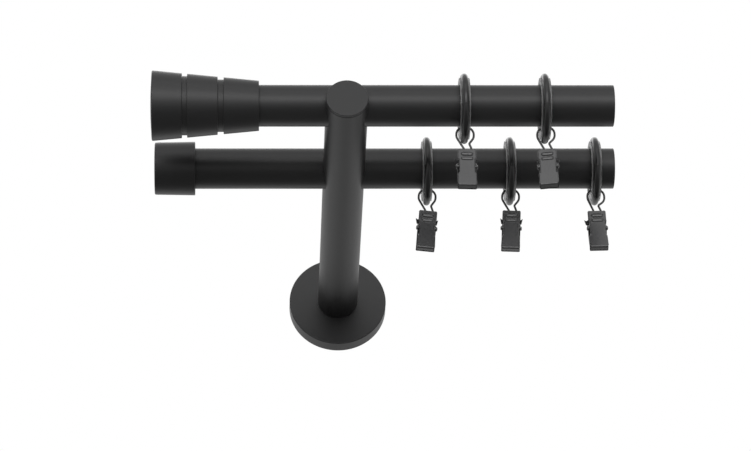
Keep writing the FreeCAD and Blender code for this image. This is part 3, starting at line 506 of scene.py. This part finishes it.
def finial():
    """Cone with a domed face, two square grooves and a socket for the pole."""
    frame_at, _ = axis_of("front_finial", ALONG_X)
    frame_at = frame_at @ Matrix.Translation((0, 0, FINIAL_DOME_MM))
    rim = finial_radius(0)
    flat = rim - 2 * FINIAL_ROUND_MM
    corners = [(flat * step / DOME_STEPS, -FINIAL_DOME_MM * (1 - (step / DOME_STEPS) ** 2), 0)
               for step in range(DOME_STEPS + 1)]
    corners.append((rim, 0, FINIAL_ROUND_MM))
    for start, width in FINIAL_GROOVES_MM:
        end = start + width
        floor_radius = finial_radius(start + width / 2) - GROOVE_DEPTH_MM
        corners += [(finial_radius(start), start, GROOVE_EDGE_MM), (floor_radius, start, GROOVE_EDGE_MM),
                    (floor_radius, end, GROOVE_EDGE_MM), (finial_radius(end), end, GROOVE_EDGE_MM)]
    foot = FINIAL_LENGTH_MM - FINIAL_SOCKET_MM
    corners += [(FINIAL_MOUTH_RADIUS_MM, FINIAL_LENGTH_MM, MOUTH_EDGE_MM),
                (SOCKET_RADIUS_MM, FINIAL_LENGTH_MM, MOUTH_EDGE_MM),
                (SOCKET_RADIUS_MM, foot, 0), (0, foot, 0)]
    cone = solid("front_finial_cone", lathe(rounded(corners), WIDE_SIDES, frame_at))
    lock_hole(cone, frame_at, FINIAL_LENGTH_MM)
    attach(cone, "root", "satin_black", "front_finial")


def end_cap():
    """Cup over the back pole's end."""
    frame_at, length = axis_of("back_end_cap", ALONG_X)
    corners = [(0, 0, 0), (CAP_CLOSED_RADIUS_MM, 0, CAP_ROUND_MM),
               (CAP_OPEN_RADIUS_MM, length, MOUTH_EDGE_MM), (SOCKET_RADIUS_MM, length, MOUTH_EDGE_MM),
               (SOCKET_RADIUS_MM, CAP_FACE_MM, 0), (0, CAP_FACE_MM, 0)]
    cup = solid("back_end_cap_cup", lathe(rounded(corners), WIDE_SIDES, frame_at))
    lock_hole(cup, frame_at, length)
    attach(cup, "root", "satin_black", "back_end_cap")


def rose():
    """Cup on the wall, with a softened front edge and a screw hole in the top of its rim."""
    frame_at, height = axis_of("wall_rose", INTO_ROOM)
    outer = outer_radius("wall_rose", AXIS_Z)
    inner = outer - ROSE_RIM_MM
    seat = height - ROSE_FACE_MM
    section = rounded([(ROSE_BORE_RADIUS_MM, seat, RIM_EDGE_MM), (inner, seat, RIM_EDGE_MM),
                       (inner, 0, RIM_EDGE_MM), (outer, 0, RIM_EDGE_MM), (outer, height, ROSE_ROUND_MM),
                       (ROSE_BORE_RADIUS_MM, height, RIM_EDGE_MM)])
    cup = solid("wall_rose_cup", lathe(section, WIDE_SIDES, frame_at, closed=True))
    drill_upward(cup, frame_at, RIM_HOLE_FROM_WALL_MM, RIM_HOLE_RADIUS_MM, inner - OVERRUN_MM,
                 outer + OVERRUN_MM)
    attach(cup, "root", "satin_black", "wall_rose")


def saddle(reach):
    """Prism of one pole seat: a half round with straight sides above it."""
    shape = bmesh.new()
    turns = [math.pi * (1 + step / SADDLE_STEPS) for step in range(SADDLE_STEPS + 1)]
    round_part = [(SADDLE_RADIUS_MM * math.cos(a), SADDLE_RADIUS_MM * math.sin(a)) for a in turns]
    edge = [(-SADDLE_RADIUS_MM, CUT_REACH_MM)] + round_part + [(SADDLE_RADIUS_MM, CUT_REACH_MM)]
    left, right = [[shape.verts.new((x, y - reach, z + POLE_RAISE_MM)) for y, z in edge]
                   for x in (-CUT_REACH_MM, CUT_REACH_MM)]
    for first in range(len(edge)):
        second = (first + 1) % len(edge)
        shape.faces.new([left[first], left[second], right[second], right[first]])
    shape.faces.new(left)
    shape.faces.new(right)
    bmesh.ops.recalc_face_normals(shape, faces=shape.faces)
    shape.transform(Matrix.Scale(MM, 4))
    return shape


def arm():
    """Round tube on the rose's axis, with a saddle for each pole."""
    low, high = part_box("bracket_arm")
    frame_at = stand(Vector((0, high.y, 0)), INTO_ROOM)
    length = (high.y - low.y) / MM
    item = tube("bracket_arm_tube", frame_at, length, outer_radius("bracket_arm", AXIS_X), ARM_WALL_MM)
    for reach in POLE_REACHES_MM:
        cut(item, saddle(reach))
    attach(item, "root", "satin_black", "bracket_arm")


def arm_cap():
    """Disc on the arm's front, with its stem inside."""
    frame_at, length = axis_of("arm_end_cap", INTO_ROOM)
    outer = outer_radius("arm_end_cap", AXIS_X)
    corners = [(0, 0, 0), (ARM_CAP_STEM_RADIUS_MM, 0, RIM_EDGE_MM),
               (ARM_CAP_STEM_RADIUS_MM, ARM_CAP_STEM_MM, 0), (outer, ARM_CAP_STEM_MM, RIM_EDGE_MM),
               (outer, length, ARM_CAP_BEVEL_MM), (0, length, 0)]
    disc = solid("arm_end_cap_disc", lathe(rounded(corners), TUBE_SIDES, frame_at))
    attach(disc, "root", "satin_black", "arm_end_cap")


@dataclass
class Row:
    """One row of a folded sheet. Flat is half the width between its bends, and edge the half
    width where its sides stay flat. Ear and tip are shares of the way up an ear and out to a
    toothed edge, and flank is how deep the folded side is past its bend."""
    y: float
    z: float
    flat: float
    edge: float = None
    ear: float = None
    tip: float = None
    flank: float = 0.0
    folded: bool = True


def fold_line(half):
    """Half the width of the flat in a folded sheet, from half its outer width."""
    return half - SHEET_MM / 2 - BEND_MM


def stations(stops):
    """Even steps through stops; each stop is a place and the number of steps that lead to it."""
    places = [stops[0][0]]
    for (start, _), (end, steps) in zip(stops, stops[1:]):
        places += [start + (end - start) * (step + 1) / steps for step in range(steps)]
    return places


def table_value(table, place):
    """Straight-line reading of a table of (place, value) pairs."""
    rows = sorted(table)
    if place <= rows[0][0]:
        return rows[0][1]
    for (low, at_low), (high, at_high) in zip(rows, rows[1:]):
        if place <= high:
            return at_low + (at_high - at_low) * (place - low) / (high - low)
    return rows[-1][1]


def zigzag(across, half, count):
    """Depth of a row of teeth, from 0 at a tip to 1 at a root."""
    phase = (across + half) / (2 * half) * count
    return 1 - abs(2 * (phase - math.floor(phase)) - 1)


def column_parts(column):
    """Side of the clip (-1, 0, 1), and the share across the flat or the step out along the side."""
    last_flat = SIDE_COLUMNS + FLAT_COLUMNS
    if column < SIDE_COLUMNS:
        return -1, SIDE_COLUMNS - column
    if column > last_flat:
        return 1, column - last_flat
    return 0, 2 * (column - SIDE_COLUMNS) / FLAT_COLUMNS - 1


def ear_spot(row, reach, inward):
    """Depth and height on an ear: straight to the pin's height, then round the pin."""
    start = row.y + inward * BEND_MM
    level = EAR_ROUND_MM * (2 * row.ear - 1)
    if reach <= EAR_REACH_STEPS:
        along = reach / EAR_REACH_STEPS
        return start * (1 - along), row.z + (level - row.z) * along
    angle = EAR_END * (reach - EAR_REACH_STEPS) / EAR_ROUND_STEPS
    return inward * EAR_ROUND_MM * math.sin(angle), level * math.cos(angle)


def side_spot(row, side, step, inward):
    """Point on a folded side: round its bend, then back along its ear or flank."""
    angle = math.pi / 2 * min(step / BEND_STEPS, 1)
    across = side * (row.flat + BEND_MM * math.sin(angle))
    depth = row.y + inward * BEND_MM * (1 - math.cos(angle))
    reach = max(step - BEND_STEPS, 0)
    if reach and row.ear is not None:
        return across, *ear_spot(row, reach, inward)
    return across, depth + inward * row.flank * reach / (SIDE_COLUMNS - BEND_STEPS), row.z


def sheet_spot(row, column, inward, flat_spot):
    """Point of a folded sheet at a row and a column."""
    side, step = column_parts(column)
    if side == 0:
        return flat_spot(row, step * row.flat)
    if row.edge is not None:
        return flat_spot(row, side * (row.flat + (row.edge - row.flat) * step / BEND_STEPS))
    return side_spot(row, side, step, inward)


def sheet_holds(first, second, column):
    """Whether the sheet has metal between two rows, from a column to the next."""
    sides = [step for side, step in (column_parts(column), column_parts(column + 1)) if side]
    if not sides:
        return True
    if max(sides) <= BEND_STEPS:
        return first.folded and second.folded and (first.edge is None) == (second.edge is None)
    if first.ear is not None and second.ear is not None:
        return True
    return min(first.flank, second.flank) > 0


def sheet_part(name, rows, inward, flat_spot):
    """Folded sheet from its rows, thickened and with softened edges. Inward is the way its
    sides fold along Y, and flat_spot gives the points of its flat."""
    shape = bmesh.new()
    corners = {}
    for index, (first, second) in enumerate(zip(rows, rows[1:])):
        for column in range(SHEET_COLUMNS):
            if not sheet_holds(first, second, column):
                continue
            keys = ((index, column), (index, column + 1), (index + 1, column + 1), (index + 1, column))
            for key in keys:
                if key not in corners:
                    corners[key] = shape.verts.new(sheet_spot(rows[key[0]], key[1], inward, flat_spot))
            shape.faces.new([corners[key] for key in keys])
    bmesh.ops.recalc_face_normals(shape, faces=shape.faces)
    item = solid(name, shape)
    thick = item.modifiers.new("sheet", "SOLIDIFY")
    thick.thickness = SHEET_MM
    thick.offset = 0
    thick.use_even_offset = True
    soft = item.modifiers.new("edges", "BEVEL")
    soft.width = SHEET_EDGE_MM
    soft.segments = SHEET_EDGE_STEPS
    soft.limit_method = "ANGLE"
    soft.angle_limit = SHEET_EDGE_ANGLE
    settle(item)
    return item


def front_rows():
    """Rows down the face, round the fold at its foot and back along the lip."""
    rows = []
    for z in stations(FACE_STOPS):
        ear = (z + FACE_EAR_MM) / (2 * FACE_EAR_MM) if abs(z) <= FACE_EAR_MM + TINY else None
        flat = fold_line(table_value(FACE_HALF_WIDTHS_MM, z))
        rows.append(Row(FACE_Y_MM, z, flat, ear=ear, folded=z >= CORNER_RELIEF_Z_MM - TINY))
    for step in range(1, BEND_STEPS + 1):
        angle = math.pi / 2 * step / BEND_STEPS
        y = FACE_Y_MM + FOOT_BEND_MM * (1 - math.cos(angle))
        z = FOOT_Z_MM - FOOT_BEND_MM * math.sin(angle)
        rows.append(Row(y, z, LIP_HALF_WIDTH_MM, folded=False))
    for step in range(1, LIP_STEPS + 1):
        rows.append(Row(FACE_Y_MM + FOOT_BEND_MM, FOOT_Z_MM - FOOT_BEND_MM, LIP_HALF_WIDTH_MM,
                        tip=step / LIP_STEPS, folded=False))
    return rows


def rib_height(across, up):
    """How far the two pill-shaped thumb ribs stand out of the face, with a faint sunk outline."""
    straight = (RIB_LENGTH_MM - RIB_WIDTH_MM) / 2
    for middle in RIB_HEIGHTS_MM:
        gap = 2 * math.hypot(max(abs(across) - straight, 0.0), up - middle) / RIB_WIDTH_MM
        if gap < 1:
            return RIB_RISE_MM * math.sqrt(1 - gap ** 2)
        if gap < 1 + MOAT_SHARE:
            return -MOAT_DEPTH_MM * math.sin(math.pi * (gap - 1) / MOAT_SHARE)
    return 0.0


def front_spot(row, across):
    """Point of the face with its ribs, or of the lip, which ends in teeth."""
    if row.tip is None:
        return across, row.y - rib_height(across, row.z), row.z
    end = LIP_END_MM - TOOTH_MM * zigzag(across, LIP_HALF_WIDTH_MM, LIP_TEETH)
    return across, row.y + (end - row.y) * row.tip, row.z


def back_depth(z):
    """Middle of the back half's sheet at a height, with its knee rounded."""
    low = (WEB_KNEE[0] - WEB_FOOT[0]) / (WEB_KNEE[1] - WEB_FOOT[1])
    high = (WEB_TIP[0] - WEB_KNEE[0]) / (WEB_TIP[1] - WEB_KNEE[1])
    away = z - WEB_KNEE[1]
    if abs(away) >= KNEE_BEND_MM:
        rise = away * (high if away > 0 else low)
    else:
        share = (away + KNEE_BEND_MM) / (2 * KNEE_BEND_MM)
        rise = -KNEE_BEND_MM * low + 2 * KNEE_BEND_MM * (low * share + (high - low) * share ** 2 / 2)
    return WEB_KNEE[0] + rise + SHEET_MM / 2


def handle_row(z, tip=None):
    """Row of the handle, whose sides stay flat."""
    edge = table_value(HANDLE_HALF_WIDTHS_MM, z)
    return Row(back_depth(z), z, fold_line(BACK_HALF_WIDTH_MM), edge=edge, tip=tip)


def back_rows():
    """Rows up the web, over its knee and along the flared handle to its notched edge."""
    low_ear, high_ear = BACK_EAR_MM
    low_jaw, high_jaw = JAW_SIDE_MM
    rows = []
    for z in stations(WEB_STOPS):
        ear = (z - low_ear) / (high_ear - low_ear) if low_ear - TINY <= z <= high_ear + TINY else None
        flank = 0.0
        if low_jaw - TINY <= z < high_jaw:
            flank = max(JAW_SIDE_DEPTH_MM * (high_jaw - z) / (high_jaw - low_jaw) - JAW_SIDE_TRIM_MM, 0.0)
        rows.append(Row(back_depth(z), z, fold_line(BACK_HALF_WIDTH_MM), ear=ear, flank=flank))
    rows += [handle_row(z) for z in stations(HANDLE_STOPS)]
    rows += [handle_row(NOTCH_START_MM, tip=step / NOTCH_STEPS) for step in range(1, NOTCH_STEPS + 1)]
    return rows


def back_spot(row, across):
    """Point of the web or the handle, which widens to its notched edge."""
    if row.tip is None:
        return across, row.y, row.z
    widest = HANDLE_HALF_WIDTHS_MM[1][1]
    across = across * (1 + (widest / table_value(HANDLE_HALF_WIDTHS_MM, NOTCH_START_MM) - 1) * row.tip)
    end = WEB_TIP[1] - NOTCH_MM * zigzag(across, widest, HANDLE_NOTCHES)
    z = row.z + (end - row.z) * row.tip
    return across, back_depth(z), z


def pin_profile():
    """Radius and height along the rivet, which has a domed head at each end."""
    end = [(PIN_HEAD_RADIUS_MM * share, PIN_TIP_MM - sunk) for share, sunk in PIN_DOME]
    end += [(PIN_HEAD_RADIUS_MM, PIN_SEAT_MM), (PIN_RADIUS_MM, PIN_SEAT_MM)]
    return [(radius, -height) for radius, height in end] + end[::-1]


def clip_frame(k):
    """Frame of clip k at its pin: X along the pin and Y away from the room, in millimetres."""
    swing = next(joint for joint in frame["joints"] if joint["name"] == f"clip_{k}_swing")
    loop = next(joint for joint in frame["joints"] if joint["name"] == f"loop_{k}_swing")
    across, away = Vector(swing["axis"]).normalized(), Vector(loop["axis"]).normalized()
    upright = Matrix((across, away, across.cross(away))).transposed().to_4x4()
    pitch = Matrix.Rotation(-math.radians(PITCH_DEG[k]), 4, "X")
    return Matrix.Translation(Vector(swing["pos_m"])) @ upright @ pitch @ Matrix.Scale(MM, 4)


def clips():
    """Front half, back half, pin and spring of every clip."""
    front = sheet_part("clip_face", front_rows(), 1, front_spot)
    back = sheet_part("clip_jaw", back_rows(), -1, back_spot)
    across = Matrix.Rotation(math.pi / 2, 4, "Y")
    drill(front, across, FRONT_PIN_HOLE_MM, -PIN_TIP_MM, PIN_TIP_MM)
    drill(back, across, BACK_PIN_HOLE_MM, -PIN_TIP_MM, PIN_TIP_MM)
    pin = solid("clip_rivet", lathe(pin_profile(), SMALL_SIDES, across))
    for k in UNITS:
        for model, name, body, node in ((front, "face", f"clip_{k}", f"clip_front_{k}"),
                                        (back, "jaw", f"jaw_{k}", f"clip_back_{k}"),
                                        (pin, "rivet", f"clip_{k}", f"clip_pin_{k}")):
            mesh = model.data.copy()
            mesh.transform(clip_frame(k))
            attach(placed(f"clip_{k}_{name}", mesh), body, "clip_black", node)
        spring(k)
    for model in (front, back, pin):
        bpy.data.objects.remove(model)


def spring(k):
    """Torsion spring copied from its node's mesh, with its finish, in place of the node."""
    node = f"clip_spring_{k}"
    item = placed(f"clip_{k}_spring", frame["nodes"][node].data.copy())
    item.data.materials.clear()
    item.data.materials.append(FINISH["spring_steel"])
    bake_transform(item)
    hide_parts(node)


def dress_nodes():
    """Every carried-over node gets its finish."""
    for name, node in frame["nodes"].items():
        node.data.materials.clear()
        node.data.materials.append(FINISH[SLOT_OF[name]])


def camera():
    """Camera at the photograph's angle, a little rolled."""
    forward = Vector((math.sin(AZIMUTH) * math.cos(ELEVATION), math.cos(AZIMUTH) * math.cos(ELEVATION),
                      math.sin(ELEVATION)))
    right = Matrix.Rotation(-ROLL, 3, forward) @ forward.cross(UPWARD).normalized()
    data = bpy.data.cameras.new("camera")
    data.lens = LENS_MM
    data.sensor_width = SENSOR_MM
    data.sensor_fit = "HORIZONTAL"
    data.clip_end = FURTHEST
    eye = placed("camera", data)
    eye.matrix_world = Matrix((right, right.cross(forward), -forward)).transposed().to_4x4()
    eye.matrix_world.translation = TARGET - forward * DISTANCE
    bpy.context.scene.camera = eye


def softbox(name, bearing, elevation, width, height, power):
    """Soft rectangular lamp that faces the pole."""
    data = bpy.data.lights.new(name, "AREA")
    data.shape = "RECTANGLE"
    data.size = width
    data.size_y = height
    data.energy = power
    lamp = placed(name, data)
    turn, rise = math.radians(bearing), math.radians(elevation)
    outward = Vector((math.sin(turn) * math.cos(rise), -math.cos(turn) * math.cos(rise), math.sin(rise)))
    lamp.rotation_euler = (-outward).to_track_quat("-Z", "Y").to_euler()
    lamp.location = LAMP_AIM + outward * LAMP_REACH


def background(tree, strength):
    """White background of a given strength."""
    shader = tree.nodes.new("ShaderNodeBackground")
    shader.inputs["Color"].default_value = SURROUND_COLOUR
    shader.inputs["Strength"].default_value = strength
    return shader.outputs["Background"]


def surround():
    """White surround for the camera and reflections, and a softer fill for matt surfaces."""
    world = bpy.data.worlds.new("studio")
    bpy.context.scene.world = world
    world.use_nodes = True
    tree = world.node_tree
    tree.nodes.clear()
    path = tree.nodes.new("ShaderNodeLightPath")
    direct = path.outputs["Is Camera Ray"]
    for ray in ("Is Glossy Ray", "Is Transmission Ray"):
        either = tree.nodes.new("ShaderNodeMath")
        either.operation = "MAXIMUM"
        tree.links.new(direct, either.inputs[0])
        tree.links.new(path.outputs[ray], either.inputs[1])
        direct = either.outputs["Value"]
    mix = tree.nodes.new("ShaderNodeMixShader")
    tree.links.new(direct, mix.inputs["Fac"])
    tree.links.new(background(tree, SURROUND_DIFFUSE), mix.inputs[1])
    tree.links.new(background(tree, SURROUND_SEEN), mix.inputs[2])
    output = tree.nodes.new("ShaderNodeOutputWorld")
    tree.links.new(mix.outputs["Shader"], output.inputs["Surface"])


def floor():
    """Pale round floor far below the pole, lifted towards white for the camera alone."""
    plane = bmesh.new()
    bmesh.ops.create_circle(plane, cap_ends=True, radius=FLOOR_RADIUS, segments=FLOOR_SIDES,
                            matrix=Matrix.Translation((0, 0, -FLOOR_DROP)))
    ground = solid("floor", plane)
    material = bpy.data.materials.new("pale_floor")
    tree, shader = node_tree(material)
    shader.inputs["Base Color"].default_value = FLOOR_COLOUR
    shader.inputs["Roughness"].default_value = FLOOR_ROUGHNESS
    shader.inputs["Emission Color"].default_value = FLOOR_COLOUR
    path = tree.nodes.new("ShaderNodeLightPath")
    glow = tree.nodes.new("ShaderNodeMath")
    glow.operation = "MULTIPLY"
    glow.inputs[1].default_value = FLOOR_GLOW
    tree.links.new(path.outputs["Is Camera Ray"], glow.inputs[0])
    tree.links.new(glow.outputs["Value"], shader.inputs["Emission Strength"])
    ground.data.materials.append(material)


def studio():
    """Surround, floor and lamps, with colours shown as they are."""
    surround()
    floor()
    for name, setting in SOFTBOXES.items():
        softbox(name, *setting)
    bpy.context.scene.view_settings.view_transform = "Standard"


def object_pieces():
    """The CAD nodes' finishes, and the pieces that stand for some of them."""
    dress_nodes()
    pole("front_pole")
    pole("back_pole")
    finial()
    end_cap()
    rose()
    arm()
    arm_cap()
    clips()


camera()
object_pieces()
studio()
